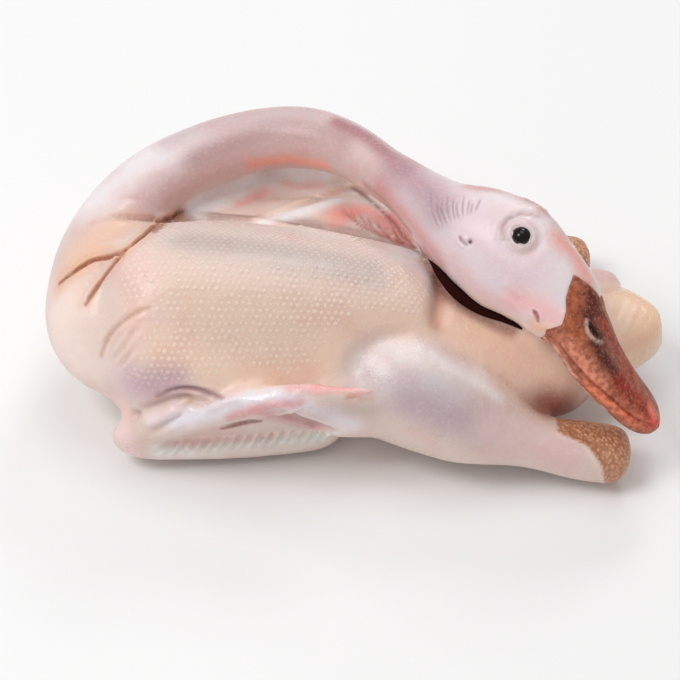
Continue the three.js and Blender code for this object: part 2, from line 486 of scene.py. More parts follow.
HEAD_GAP = [(421, 249), (428, 264), (437, 282), (450, 297), (469, 310), (489, 321), (511, 331)]
FAR_FOLD = [(352, 187), (362, 194), (373, 203), (385, 214), (396, 225), (406, 238), (415, 248)]
FAR_FOLD_BAND = [(364, 184), (376, 193), (388, 205), (400, 219), (410, 232)]
FAR_WING_EDGE = [(254, 219), (285, 208), (315, 196), (342, 188), (362, 184)]
FAR_WING_STROKES = {
    "edge": (FAR_WING_EDGE, 1.2, 1.2, {}),
    "edge furrow": ([(262, 224), (290, 208), (320, 199), (345, 190)], 1.4, -1.3, {}),
    "pocket": ([(232, 208), (258, 196), (272, 188)], 1.8, -1.2, {}),
    "far pocket": ([(284, 182), (300, 187), (318, 186)], 1.6, -1, {}),
}
THIGH_WRINKLE_TOPS = ((340, 204), (392, 226))
THIGH_WRINKLE_FEET = ((376, 233), (416, 250))
THIGH_WRINKLES = 7
THIGH_BOW = 3
THIGH_UNEVEN = 2


def thigh_wrinkle(k):
    """The pixels of one wrinkle of the far thigh, bowed towards the breast."""
    share = k / (THIGH_WRINKLES - 1)
    top = between(*THIGH_WRINKLE_TOPS, share)
    foot = between(*THIGH_WRINKLE_FEET, share)
    middle = between(top, foot, 0.45)
    return [top, (middle[0] - THIGH_BOW, middle[1] + THIGH_BOW + THIGH_UNEVEN * (k % 2)), foot]


def shape_far_side(skin):
    skin.stroke(FAR_FOLD, 1.3 * MM, -1.4 * MM, taper=0.15, facing=0.5)
    for k in range(THIGH_WRINKLES):
        skin.stroke(thigh_wrinkle(k), 0.9 * MM, -0.9 * MM, lip=0.5)
        skin.soften(thigh_wrinkle(k), 3 * MM, 2)
    skin.soften(FAR_FOLD, FOLD_SOFT)
    lay(skin, FAR_WING_STROKES)
    skin.refresh()


EYE = (521.5, 235.5)
EAR = (470, 242)
MOUTH_SLIT = [(534, 311), (537, 316), (538, 321)]
NAPE_TOPS = ((431, 187), (482, 196))
NAPE_FEET = ((441, 233), (474, 214))
NAPE_WRINKLES = 10
NAPE_BOW = 5
NAPE_STAGGER = 0.13
NAPE_WAVER = 2.1
NAPE_DEPTHS = (0.3 * MM, 0.4 * MM, 0.5 * MM)
HEAD_STROKES = {
    "eye socket": (ring(EYE, 20, 19, 20), 2.2, -0.7, {"taper": 0}),
    "eye rim": (ring(EYE, 12, 11, 20), 1.7, 0.9, {"taper": 0}),
    "crease below the eye": ([(508, 237), (512, 244), (520, 249)], 0.9, -0.8, {}),
    "crease over the eye": (
        [(503, 238), (504, 225), (513, 217), (526, 214), (541, 216)], 1.2, -0.8, {"lip": 0.5},
    ),
    "eye hollow": ([EYE], 3.2, -2.6, {"taper": 0}),
    "brow": ([(528, 208), (540, 209), (549, 214)], 2, 0.9, {}),
    "crown": ([(520, 196), (538, 203), (548, 212)], 1.4, 0.6, {}),
    "ear": ([EAR], 0.95, -2.2, {"taper": 0}),
    "ear crease": ([(460, 236), (462, 241), (467, 245)], 0.8, -0.7, {"lip": 0.6}),
    "mouth slit": (MOUTH_SLIT, 0.9, -1.6, {"lip": 0.3}),
    "cheek crease": ([(498, 287), (512, 296), (523, 303)], 1.6, -0.5, {"lip": 0.5}),
    "jaw": ([(520, 322), (533, 331), (548, 343)], 1.5, 0.7, {}),
}


def nape_wrinkle(k):
    """The pixels of one wrinkle, bowed less the nearer it is to the crown."""
    share = k / (NAPE_WRINKLES - 1)
    top = between(*NAPE_TOPS, share)
    foot = between(*NAPE_FEET, share)
    start = between(top, foot, NAPE_STAGGER * (k % 3))
    middle = between(top, foot, 0.5)
    bow = NAPE_BOW * (1 - share) - math.sin(k * NAPE_WAVER)
    return [start, (middle[0] - bow, middle[1]), foot]


def shape_head(skin):
    lay(skin, HEAD_STROKES)
    for k in range(NAPE_WRINKLES):
        skin.stroke(nape_wrinkle(k), 0.55 * MM, -NAPE_DEPTHS[k % 3], lip=0.5, taper=0.35)
    skin.refresh()


RIM_GROOVE = [
    (560, 345), (574, 363), (588, 379), (600, 389), (612, 399), (624, 410), (637, 419), (651, 425),
]
LOWER_JAW = [(543, 337), (556, 349), (568, 367), (580, 384), (592, 398), (606, 410)]
NOSTRIL = [(590, 323), (594, 331), (600, 338)]
NOSTRIL_RIM = [(587, 320), (587, 328), (591, 336), (597, 341), (602, 342)]
NAIL = [(651, 408), (656, 417)]
BILL_RIDGE = [(599, 300), (610, 330), (624, 356), (638, 380), (648, 396)]


BILL_STROKES = {
    "groove": (RIM_GROOVE, 0.7, -0.8, {"lip": 0.5}),
    "jaw": (LOWER_JAW, 1.2, 0.7, {}),
    "nostril rim": (NOSTRIL_RIM, 0.9, 0.8, {"taper": 0.15}),
    "nostril": (NOSTRIL, 1.1, -1.3, {"taper": 0.15}),
    "nail": (NAIL, 2.2, 0.8, {"taper": 0}),
    "nail edge": ([(645, 405), (650, 417), (652, 428)], 0.7, -0.6, {}),
    "ridge": (BILL_RIDGE, 2.2, 0.6, {}),
}


def shape_bill(horn):
    lay(horn, BILL_STROKES)
    horn.refresh()


HAND_TOP = [
    (133, 416), (157, 408), (181, 403), (207, 401), (234, 391),
    (250, 386), (282, 386), (320, 383), (356, 383),
]
HAND_UNDER = [(186, 434), (203, 430), (216, 427), (234, 424), (251, 421)]
HAND_SLIT = [(222, 429), (236, 425), (248, 422), (261, 421)]
THUMB_FOLD = [(146, 436), (158, 428), (172, 420), (188, 412)]
THUMB_TIP = [(176, 405), (184, 402), (190, 398)]
WEB_EDGE = [(262, 415), (279, 411), (295, 416), (311, 422), (328, 428), (344, 434)]
PLUME_ROW_TOP = ((170, 441), (334, 425))
PLUME_ROW_FOOT = ((158, 456), (322, 441))
PLUME_MIDDLE = [(166, 448), (220, 444), (280, 438), (328, 433)]
PLUME_ROOTS = 16
WING_STROKES = {
    "wrist bone": ([(140, 424), (165, 415), (182, 407)], 2.2, 1.2, {}),
    "thumb fold": (THUMB_FOLD, 1.4, -1.8, {"lip": 0.3}),
    "thumb tip": (THUMB_TIP, 1.3, 1.2, {"taper": 0.1}),
    "hand bone": ([(195, 412), (225, 402), (246, 394)], 2.4, 1.1, {}),
    "hand furrow": ([(205, 416), (228, 408), (250, 402)], 1.4, -0.6, {}),
    "hand end": ([(262, 391), (300, 387), (335, 386)], 2.2, 0.9, {}),
    "under the hand": (HAND_UNDER, 1.5, -1.2, {"lip": 0.3, "facing": -1.1}),
    "slit": (HAND_SLIT, 1.2, -2, {"facing": -1.1}),
}


def shape_near_wing(skin):
    lay(skin, WING_STROKES)
    skin.soften(HAND_UNDER, FOLD_SOFT, 2)
    skin.stroke(WEB_EDGE, 1.6 * MM, -1.8 * MM, lip=0.6)
    for k in range(PLUME_ROOTS):
        share = k / (PLUME_ROOTS - 1)
        top = between(*PLUME_ROW_TOP, share)
        foot = between(*PLUME_ROW_FOOT, share)
        skin.stroke([top, between(top, foot, 0.5), foot], 0.95 * MM, 1.3 * MM, lip=0.35, taper=0.3)
    skin.refresh()


THIGH_SEAM = [(346, 388), (350, 370), (358, 354), (374, 342), (396, 335), (420, 337)]
SHANK_CUFF = [(557, 432), (573, 439), (588, 446), (596, 457), (603, 468), (605, 486)]


TAIL_CREASE_TOPS = ((628, 292), (652, 304))
TAIL_CREASE_FEET = ((612, 330), (636, 348))
TAIL_CREASES = 4
LEG_STROKES = {
    "thigh seam": (THIGH_SEAM, 3.2, -1.2, {}),
    "cuff": (SHANK_CUFF, 1.4, 0.9, {"lip": 0.3, "taper": 0.1}),
    "thigh ridge": ([(470, 362), (500, 384), (524, 402)], 3, 0.8, {}),
    "tail notch": ([(598, 292), (610, 290), (624, 283)], 1.6, -2, {}),
}


def shape_legs_and_tail(skin):
    lay(skin, LEG_STROKES)
    for k in range(TAIL_CREASES):
        share = k / (TAIL_CREASES - 1)
        crease = [between(*TAIL_CREASE_TOPS, share), between(*TAIL_CREASE_FEET, share)]
        skin.stroke(crease, 1.2 * MM, -0.4 * MM, lip=0.5)
    skin.refresh()


# Paint: the colours of the skin, in display values, with painted shade in creases and some painted
# highlights


def paint_round(skin, points, reach, colour, full):
    """Tints all that lies within reach of a line through points inside, softly from full."""
    distance = distances_to_line(skin.co, points)
    cover = eased((reach * MM - distance) / ((reach - full) * MM))
    skin.tint += (linear(colour) - skin.tint) * cover[:, None]


# Patches of the body: (line of pixels, reach in millimetres, colour, strength)
BODY_PAINT = {
    "breast": ([(180, 300), (260, 320), (340, 320), (400, 320)], 34, "ecccb8", 0.95),
    "breast front": ([(135, 270), (135, 310), (150, 340)], 20, "f5d0c4", 0.8),
    "breast side": ([(165, 350), (220, 368), (280, 372), (330, 360)], 15, "fcdac1", 0.85),
    "keel shade": ([(190, 240), (250, 248), (310, 258), (370, 270)], 15, "c3b1ab", 0.85),
    # keel: a thin pale line along the ridge, a painted highlight
    "keel": ([(180, 218), (260, 224), (340, 240), (425, 262)], 4, "e2d2c8", 0.8),
    # The step at the breast's end: reddish skin, partly its own colour and partly painted shade in the
    # groove
    "breast end step shade": ([(440, 270), (441, 300), (436, 325)], 6, "b46453", 0.8),
    "shoulder": ([(112, 384), (140, 385), (172, 382)], 13, "caa7b3", 0.85),
    "shoulder foot": ([(108, 400), (124, 408)], 9, "fcd3cb", 0.8),
    # front: the pale neck base, partly its own colour and partly a painted highlight
    "front": ([(62, 310), (66, 340), (90, 372)], 24, "fbe4da", 0.95),
    "neck foot": ([(78, 262), (100, 240), (122, 225)], 18, "efc4a8", 0.8),
    # The neck-base folds: an orange glow beside each fold is painted light, and dark brown in it is
    # painted shade
    "fold glow": (NECK_FOLD, 8, "e8b088", 0.6),
    "fold": (NECK_FOLD, 1.9, "96522c", 0.9),
    # fold end: painted shade in the dark wedge where the fold ends
    "fold end": ([(152, 231), (165, 222), (180, 213)], 3.6, "824c31", 0.85),
    # The same painted glow and painted shade along the breast edge
    "breast fold glow": (BREAST_EDGE, 6, "eabfa2", 0.5),
    "breast fold": (BREAST_EDGE, 1.7, "a8653e", 0.85),
    # upper fold and shoulder wrinkle: darker along the folds, painted shade
    "upper fold": (UPPER_FOLD, 3, "d8a488", 0.6),
    "shoulder wrinkle": (WRINKLES_BY_SHOULDER[0], 1.6, "c99c7c", 0.6),
    # A painted shadow in a thin line behind the keel ridge, and painted shade on the far slope beyond it
    "keel painted shadow": (KEEL_BACK, 2, "8a6a5e", 0.7),
    "keel slope shade": (KEEL_SLOPE, 4, "ac938a", 0.85),
    "abdomen": ([(470, 325), (520, 350), (560, 375)], 24, "fbd3b6", 0.9),
    # The vent's brown, darkened further as painted shade under the bill and hock
    "vent and shade under the bill": ([(545, 404), (568, 413), (592, 408), (602, 396)], 15, "a1432a", 0.8),
    "tail": ([(630, 300), (650, 330), (630, 360)], 26, "fcd3b0", 0.95),
    "tail flap": ([(600, 275), (618, 282)], 9, "e3b9b4", 0.8),
    "web": ([(285, 405), (320, 412), (350, 425)], 9, "fcf3f9", 0.8),
    "flank": ([(262, 412), (300, 425), (330, 430)], 6, "d08e94", 0.6),
}

NECK_PAINT = {
    "outer side": ([(88, 205), (130, 165), (180, 135)], 20, "f1eaec", 0.9),
    "back": ([(170, 140), (230, 118), (300, 112)], 13, "d2bdbe", 0.85),
    "middle": ([(200, 160), (270, 135), (340, 140)], 12, "bb9796", 0.8),
    "inner side": ([(170, 195), (220, 165), (280, 148), (330, 152)], 9, "ddb9b6", 0.7),
    "red streak": ([(338, 122), (362, 134), (388, 154), (405, 170)], 7, "a65b66", 0.75),
    "red underside": ([(250, 164), (290, 160), (325, 166)], 5, "fba995", 0.85),
    "near head": ([(398, 165), (425, 190), (440, 210)], 15, "b7949e", 0.85),
    "throat": ([(380, 190), (410, 222), (440, 262)], 8, "d79493", 0.7),
}

HEAD_PAINT = {
    "cheek": ([(470, 215), (500, 260), (530, 280)], 15, "e8ced4", 0.7),
    "jowl": ([(455, 262), (480, 290), (510, 305)], 8, "edc9cf", 0.7),
    "crown": ([(470, 186), (510, 193), (545, 210), (570, 240)], 6, "d19e9a", 0.8),
    "forehead": ([(560, 240), (575, 255), (588, 280)], 8, "f3a594", 0.8),
    "lower cheek": ([(515, 300), (540, 308), (555, 318)], 9, "fcc2c1", 0.8),
    "mouth corner": ([(534, 326), (546, 330), (552, 338)], 6, "fcc6a2", 0.8),
    "eye ring": (ring(EYE, 15, 14, 20), 3.5, "dcc6c4", 0.6),
    # eye crease, ear and ear crease: darker in the creases and the ear hole, painted shade
    "eye crease": ([(503, 239), (504, 225), (513, 217), (526, 214), (541, 216)], 1.6, "bf9ea0", 0.7),
    "ear": ([EAR], 1.3, "3a1c1c", 1.0),
    "ear crease": ([(460, 237), (462, 241), (467, 245)], 1.1, "a98b90", 0.8),
    "mouth slit": (MOUTH_SLIT, 1.3, "aa4035", 0.9),
}

WING_PAINT = {
    "hand": ([(175, 420), (215, 410), (250, 398), (300, 393)], 8, "eeebf2", 0.9),
    "hand pink": ([(150, 420), (175, 412)], 6, "fce8ed", 0.7),
    "hand under": ([(230, 418), (262, 408), (300, 403)], 4, "e4979a", 0.7),
    "wrist": ([(122, 436), (130, 452)], 10, "f7d4d4", 0.9),
    "forearm": ([(160, 450), (220, 448), (280, 440), (330, 434)], 8, "fcfaf3", 0.9),
    "plumes": ([(168, 444), (240, 437), (330, 428)], 3, "fcd1cb", 0.6),
    "tip": ([(318, 387), (345, 387)], 4.5, "d57279", 0.8),
    "tip edge": ([(350, 398), (372, 396)], 3, "c98e5e", 0.7),
    "thumb": ([(184, 402), (190, 399)], 2.5, "ecd3a8", 0.7),
    # slit: painted shade, dark in the slit between hand and forearm
    "slit": (HAND_SLIT, 1.4, "84403a", 0.9),
    "hand end": ([(290, 388), (320, 388), (350, 388), (368, 393)], 4.5, "f1b6b3", 0.8),
    # wing pit: painted shade along the arc of the pit
    "wing pit": (WING_PIT_ARC, 2, "a9858a", 0.8),
}

LEG_PAINT = {
    "thigh": ([(372, 372), (410, 380), (450, 400)], 20, "d6d0d3", 0.9),
    # A painted highlight: pale glints along the thigh's upper edge
    "thigh painted highlight": ([(440, 360), (470, 376), (500, 398)], 5, "faf6f4", 0.7),
    "thigh middle": ([(410, 400), (450, 415), (480, 425)], 16, "bfa7ad", 0.85),
    # The thigh's top: partly its pale skin and partly a painted highlight
    "thigh top highlight": ([(385, 350), (430, 352), (480, 375)], 10, "ede1df", 0.8),
    "shank": ([(490, 430), (530, 440), (560, 452)], 14, "e8c9c7", 0.85),
    "cuff": (SHANK_CUFF, 3.5, "ead0c8", 0.9),
    "far thigh": ([(340, 215), (375, 212), (405, 236)], 11, "fca497", 0.85),
    "far thigh fold shade": (FAR_FOLD, 1.6, "80504a", 0.75),
    # Painted shade: dark in the crease between the far thigh and the neck
    "far fold band": (FAR_FOLD_BAND, 3, "c08f8c", 0.8),
    "far thigh edge": ([(425, 250), (434, 262)], 4, "d8857a", 0.8),
    "far shin": ([(578, 245), (586, 256)], 7, "d59a72", 0.9),
    # Painted shade on the body beside the dark gap under the head
    "shade by the head gap": (HEAD_GAP, 5, "9c6658", 0.8),
}

FAR_WING_PAINT = {
    "forearm": ([(195, 207), (230, 192), (262, 178), (320, 180)], 9, "fcfcfc", 0.95),
    "pocket": ([(240, 205), (265, 192)], 4, "f8b8b0", 0.8),
    "far pocket": ([(284, 183), (300, 187), (320, 186)], 3.5, "f6c8c2", 0.8),
    "white web": ([(262, 222), (300, 212), (335, 200)], 6, "fcfcfc", 0.9),
    "edge": (FAR_WING_EDGE, 1.8, "f3d6c0", 0.7),
}

HOCK_LINE = [(84, -66, 15), (98, -68, 14), (112, -69, 13)]
FAR_HOCK_LINE = [(90, 46, 14), (104, 46.5, 13.5)]
HOCK_REACH = 15.5 * MM
HOCK_BLUR = 2 * MM
CUFF_BLUR = 4
WET_PATCHES = [
    ([(385, 350), (430, 352), (480, 375), (525, 405)], 13, 1.0),
    ([(375, 370), (400, 420), (450, 440)], 12, 0.6),
    ([(626, 290), (655, 315), (640, 350)], 12, 0.9),
    ([(300, 104), (345, 122), (400, 155)], 6, 1.0),
    ([(170, 418), (230, 402), (300, 390), (350, 390)], 6, 1.0),
    ([(120, 440), (135, 455)], 9, 0.7),
    ([(500, 192), (545, 210), (570, 245)], 6, 0.9),
    ([(520, 300), (545, 330)], 6, 0.9),
    ([(195, 207), (262, 178), (320, 180)], 8, 0.8),
    ([(424, 258), (432, 275)], 5, 0.9),
    ([(280, 405), (330, 410)], 7, 0.8),
    ([(470, 330), (530, 360)], 14, 0.5),
]
BILL_REACH = 24 * MM
HOCK_RADIUS = 13.3 * MM


def wrinkle_shade_lines(skin):
    """Dark lines in the wrinkles of the nape and the far thigh: painted shade."""
    for k in range(NAPE_WRINKLES):
        skin.paint(nape_wrinkle(k), 1 * MM, "a98f9b", 0.6, taper=0.35)
    for k in range(THIGH_WRINKLES):
        skin.paint(thigh_wrinkle(k), 1.2 * MM, "a8605a", 0.65, taper=0.3)


def paint_hocks(skin):
    """The scaly stumps of the shanks. The near one begins at its slanting cuff."""
    cuff_u, cuff_v = np.array(SHANK_CUFF, float).T
    u, v = seen_at(skin.co)
    past_cuff = eased((u - np.interp(v, cuff_v, cuff_u)) / CUFF_BLUR + 0.5)
    for line, start in ((HOCK_LINE, past_cuff), (FAR_HOCK_LINE, 1)):
        within = (HOCK_REACH - distances_to_line(skin.co, line)) / HOCK_BLUR
        skin.scaly = np.maximum(skin.scaly, eased(within) * start)
    skin.tint += (linear("e3a680") - skin.tint) * skin.scaly[:, None]


def paint_skin(skin):
    paint_round(skin, NECK_LINE, 26, "dcc2c0", 14)
    paint_round(skin, HEAD_LINE, 30, "eadde0", 20)
    for patches in (BODY_PAINT, NECK_PAINT, HEAD_PAINT, WING_PAINT, LEG_PAINT, FAR_WING_PAINT):
        for line, reach, colour, strength in patches.values():
            skin.paint(line, reach * MM, colour, strength)
    wrinkle_shade_lines(skin)
    paint_hocks(skin)
    for line, reach, strength in WET_PATCHES:
        skin.moisten(line, reach * MM, strength)


# The bill: where the horn begins, and its colours

BILL_ROOT = Vector((82, -41, 63)) * MM
BILL_FORWARD = Vector((0.645, -0.456, -0.613)).normalized()
BILL_SIDE = BILL_FORWARD.cross(Vector((0.70, -0.09, 0.71))).normalized()
BILL_UP = BILL_SIDE.cross(BILL_FORWARD)
# The edge of the horn: degrees from the bill's ridge, positive on the near side, and millimetres
# along the bill. A wedge of skin runs down between the two lobes of the horn.
HORN_EDGE = [
    (-180, -1.8), (-130, -2), (-95, -9), (-66, -13.5), (-56, -8), (-46, 1), (-6, 1), (0, -6), (6, -13.5),
    (21, -11.4), (35, -9), (49, -5), (68, -1.8), (84, -2.8), (100, -3.5), (113, -1.8), (180, -1.8),
]
HORN_OVERLAP = 2.4 * MM
HORN_RISE = 0.25 * MM
HORN_SINK = 1.6 * MM
SKIN_SINK = 2.4 * MM


def horn_edge_at(points):
    """How far past the edge of the horn some points are, along the bill."""
    away = np.asarray(points) - np.array(BILL_ROOT)
    along = away @ np.array(BILL_FORWARD)
    angle = np.degrees(np.arctan2(away @ np.array(BILL_SIDE), away @ np.array(BILL_UP)))
    return along - np.interp(angle, *zip(*HORN_EDGE)) * MM


def horn_depth(skin):
    """The same for the skin: far below 0 where it isn't the bill's own."""
    line = rounded_line(in_metres(BILL_LINE), 4)
    gaps = skin.co[:, None] - line[None]
    distance = np.linalg.norm(gaps, axis=2)
    nearest = gaps[np.arange(len(gaps)), distance.argmin(1)]
    outward = (nearest * skin.normals).sum(1) / (distance.min(1) + 1e-9)
    hock = distances_to_line(skin.co, HOCK_LINE) < HOCK_RADIUS
    own = (distance.min(1) < BILL_REACH) & (outward > 0) & ~hock
    return np.where(own, horn_edge_at(skin.co), -1)


def split_horn(skin):
    """A finer clay of the bill's horn, with its edge under the skin, which sinks beneath it."""
    depth = horn_depth(skin)
    skin.piece.data.vertices.foreach_set("co", skin.co.ravel())
    piece = linked("bill_horn", skin.piece.data.copy())
    form = bmesh.new()
    form.from_mesh(piece.data)
    form.verts.ensure_lookup_table()
    outside = [v for v in form.verts if depth[v.index] < -HORN_OVERLAP]
    bmesh.ops.delete(form, geom=outside, context="VERTS")
    bmesh.ops.subdivide_edges(form, edges=form.edges, cuts=1, use_grid_fill=True)
    form.to_mesh(piece.data)
    form.free()

    open_clay = Clay(piece, "b4694f")
    open_clay.smooth(1, share=0.5, back=0.3)
    open_clay.refresh()
    inner = horn_edge_at(open_clay.co) / HORN_OVERLAP
    lift = np.where(inner > 0, HORN_RISE * eased(inner * 2), HORN_SINK * inner)
    open_clay.co += open_clay.normals * lift[:, None]
    piece.data.vertices.foreach_set("co", open_clay.co.ravel())
    form = bmesh.new()
    form.from_mesh(piece.data)
    bmesh.ops.holes_fill(form, edges=[e for e in form.edges if e.is_boundary])
    bmesh.ops.triangulate(form, faces=[f for f in form.faces if len(f.verts) > 4])
    form.to_mesh(piece.data)
    form.free()

    skin.co -= skin.normals * (SKIN_SINK * eased(depth / HORN_OVERLAP))[:, None]
    skin.horn = eased(depth / HORN_OVERLAP + 0.5)
    skin.refresh()
    return Clay(piece, "b4694f")


# Patches of the bill: (line of pixels, reach in millimetres, colour, strength)
BILL_PAINT = {
    "root": ([(570, 290), (572, 315), (574, 340)], 7, "b05a31", 0.95),
    "ridge root": ([(590, 294), (598, 312)], 6, "641b03", 0.95),
    "ridge": ([(604, 326), (616, 350), (630, 374)], 6, "ad3e1d", 0.9),
    "middle": ([(588, 314), (596, 340), (607, 361), (618, 377)], 6, "540c01", 0.95),
    # far edge: painted shade, darker along the bill's far side, away from the light
    "far edge shade": ([(607, 318), (620, 345), (636, 372), (650, 394)], 3, "801e07", 0.85),
    "side": ([(568, 345), (584, 366), (602, 386)], 6.5, "ec9677", 0.95),
    "far part": ([(622, 383), (636, 397), (646, 409)], 8, "a92b08", 0.95),
    "rim": ([(588, 386), (606, 401), (626, 415), (646, 426)], 4.5, "fc8962", 0.9),
    "tip": ([(650, 424), (660, 422)], 4, "f85646", 0.9),
    "jaw": (LOWER_JAW, 2.5, "f0b096", 0.95),
    # groove: painted shade in the groove over the rim
    "groove": (RIM_GROOVE, 1.2, "8a3020", 0.75),
    "nostril rim": (NOSTRIL_RIM, 1.5, "d9b8a8", 0.9),
    # nostril: nearly black in the pit, painted shade
    "nostril": (NOSTRIL, 1.9, "2a120a", 1.0),
    "nail": (NAIL, 3.2, "fc8f7c", 0.9),
}


def paint_bill(horn):
    for line, reach, colour, strength in BILL_PAINT.values():
        horn.paint(line, reach * MM, colour, strength)


# Materials


def node(tree, kind, values=None, **settings):
    """A new node, with its inputs set to values or linked to sockets."""
    made = tree.nodes.new(kind)
    for name, value in settings.items():
        setattr(made, name, value)
    for name, value in (values or {}).items():
        if isinstance(value, bpy.types.NodeSocket):
            tree.links.new(value, made.inputs[name])
        else:
            made.inputs[name].default_value = value
    return made


def new_material(name):
    material = bpy.data.materials.new(name)
    material.use_nodes = True
    return material, material.node_tree, material.node_tree.nodes["Principled BSDF"]


def attribute(tree, name, output):
    return node(tree, "ShaderNodeAttribute", attribute_name=name).outputs[output]


def noise(tree, place, scale, detail=3.0):
    values = {"Vector": place, "Scale": scale, "Detail": detail}
    return node(tree, "ShaderNodeTexNoise", values).outputs["Fac"]


def spread(tree, value, low, high, to_low, to_high):
    """The value's range low to high, mapped to another range and kept inside it."""
    values = {"Value": value, "From Min": low, "From Max": high, "To Min": to_low, "To Max": to_high}
    return node(tree, "ShaderNodeMapRange", values).outputs["Result"]


def times(tree, a, b):
    return node(tree, "ShaderNodeMath", {0: a, 1: b}, operation="MULTIPLY").outputs[0]


def mixed(tree, share, a, b, blend="MIX"):
    values = {"Factor": share, 6: a, 7: b}
    made = node(tree, "ShaderNodeMix", values, data_type="RGBA", blend_type=blend)
    return made.outputs[2]


BLUSH = (*linear("d8867c"), 1)
BLANCH = (*linear("f6ece4"), 1)
PATCH_SCALE = 55
FLECK_SCALE = 700
GRAIN_SCALE = 1300
WET_GRAIN = 2.8
CREPE_SCALE = 260
SCALE_SCALE = 620
SCALE_BROWN = (*linear("a5673f"), 1)
DOME_CREAM = (*linear("fdeedd"), 1)
HORN_PATCH_SCALE = 400
HORN_GRAIN_SCALE = 900
HORN_DARK = (*linear("84482c"), 1)
HORN_LIGHT = (*linear("dca088"), 1)


def skin_material():
    """Moist plucked skin: its paint, faint blotches, fat beneath, fine crepe and a wet film."""
    material, tree, shader = new_material("duck_skin")
    place = node(tree, "ShaderNodeTexCoord").outputs["Object"]
    tint = attribute(tree, "tint", "Color")
    wet = attribute(tree, "wet", "Fac")
    scaly = attribute(tree, "scaly", "Fac")

    blotch = noise(tree, place, PATCH_SCALE, 4)
    fleck = noise(tree, place, FLECK_SCALE, 3)
    blush = spread(tree, blotch, 0.48, 0.72, 0, 0.22)
    blanch = spread(tree, fleck, 0.52, 0.75, 0, 0.18)
    coloured = mixed(tree, blanch, mixed(tree, blush, tint, BLUSH), BLANCH)
    values = {"Vector": place, "Scale": SCALE_SCALE}
    scales = node(tree, "ShaderNodeTexVoronoi", values).outputs["Distance"]
    rough_skin = times(tree, spread(tree, scales, 0.2, 0.7, 0, 0.7), scaly)
    scarred = mixed(tree, rough_skin, coloured, SCALE_BROWN)
    tree.links.new(scarred, shader.inputs["Base Color"])

    dry_rough = spread(tree, fleck, 0.3, 0.7, 0.36, 0.52)
    wetness = spread(tree, wet, 0, 1, 1, 0.45)
    tree.links.new(times(tree, dry_rough, wetness), shader.inputs["Roughness"])

    crepe = noise(tree, place, CREPE_SCALE, 4)
    soft = node(tree, "ShaderNodeBump", {"Strength": 0.35, "Distance": 0.0012, "Height": crepe})
    grain = times(tree, noise(tree, place, GRAIN_SCALE, 2), spread(tree, wet, 0, 1, 1, WET_GRAIN))
    values = {"Strength": 0.25, "Distance": 0.0003, "Height": grain, "Normal": soft.outputs[0]}
    fine = node(tree, "ShaderNodeBump", values).outputs[0]
    values = {"Strength": 0.8, "Distance": 0.0008, "Height": rough_skin, "Normal": fine}
    pitted = node(tree, "ShaderNodeBump", values, invert=True)
    tree.links.new(pitted.outputs[0], shader.inputs["Normal"])

    shader.inputs["Subsurface Weight"].default_value = 0.3
    shader.inputs["Subsurface Radius"].default_value = (1.0, 0.42, 0.26)
    shader.inputs["Subsurface Scale"].default_value = 0.0035
    shader.inputs["Coat Weight"].default_value = 0.22
    shader.inputs["Coat Roughness"].default_value = 0.22
    return material


def follicle_material():
    """The skin's own paint, paling towards the crest of each dome."""
    material, tree, shader = new_material("duck_follicle")
    tint = attribute(tree, "tint", "Color")
    pale = spread(tree, attribute(tree, "crest", "Fac"), FOLLICLE_SUNK, 1.0, 0.04, 0.28)
    tree.links.new(mixed(tree, pale, tint, DOME_CREAM), shader.inputs["Base Color"])
    shader.inputs["Roughness"].default_value = 0.42
    return material


def horn_material():
    """Dry horn: its paint with brown grains and pale specks, over a fine rough grain."""
    material, tree, shader = new_material("duck_horn")
    place = node(tree, "ShaderNodeTexCoord").outputs["Object"]
    tint = attribute(tree, "tint", "Color")
    patch = noise(tree, place, HORN_PATCH_SCALE, 5)
    grain = noise(tree, place, HORN_GRAIN_SCALE, 3)
    dark = spread(tree, patch, 0.42, 0.62, 0, 0.55)
    speck = spread(tree, grain, 0.5, 0.7, 0, 0.28)
    coloured = mixed(tree, speck, mixed(tree, dark, tint, HORN_DARK, "MULTIPLY"), HORN_LIGHT)
    tree.links.new(coloured, shader.inputs["Base Color"])
    values = {"Strength": 0.35, "Distance": 0.0005, "Height": grain}
    tree.links.new(node(tree, "ShaderNodeBump", values).outputs[0], shader.inputs["Normal"])
    shader.inputs["Roughness"].default_value = 0.5
    shader.inputs["Specular IOR Level"].default_value = 0.35
    shader.inputs["Coat Weight"].default_value = 0.05
    shader.inputs["Coat Roughness"].default_value = 0.25
    shader.inputs["Subsurface Weight"].default_value = 0.08
    shader.inputs["Subsurface Scale"].default_value = 0.002
    return material


def eye_material():
    """A dark wet eye: its paint under a clear gloss."""
    material, tree, shader = new_material("duck_eye")
    tree.links.new(attribute(tree, "tint", "Color"), shader.inputs["Base Color"])
    shader.inputs["Roughness"].default_value = 0.12
    shader.inputs["Specular IOR Level"].default_value = 0.3
    return material


def plain_material(name, colour, roughness, subsurface=0.0, specular=0.5):
    """One colour, for what is too small or too dark to show a grain."""
    material, _, shader = new_material(name)
    shader.inputs["Base Color"].default_value = (*linear(colour), 1)
    shader.inputs["Roughness"].default_value = roughness
    shader.inputs["Specular IOR Level"].default_value = specular
    shader.inputs["Subsurface Weight"].default_value = subsurface
    shader.inputs["Subsurface Scale"].default_value = 0.002
    return material


# The crease under the head: a nearly black roll laid in it as painted shade

CREASE_LINE = [
    (406, 229), (415, 237), (423, 246), (430, 257), (436, 268), (445, 281),
    (456, 293), (470, 303), (484, 310), (497, 315), (509, 321), (522, 329),
]
CREASE_RADII = (0.3, 0.6, 0.8, 1, 1.5, 2, 2.4, 2.6, 2.6, 2.1, 1.3, 0.4)
BESIDE_CREASE = (-7, 7)


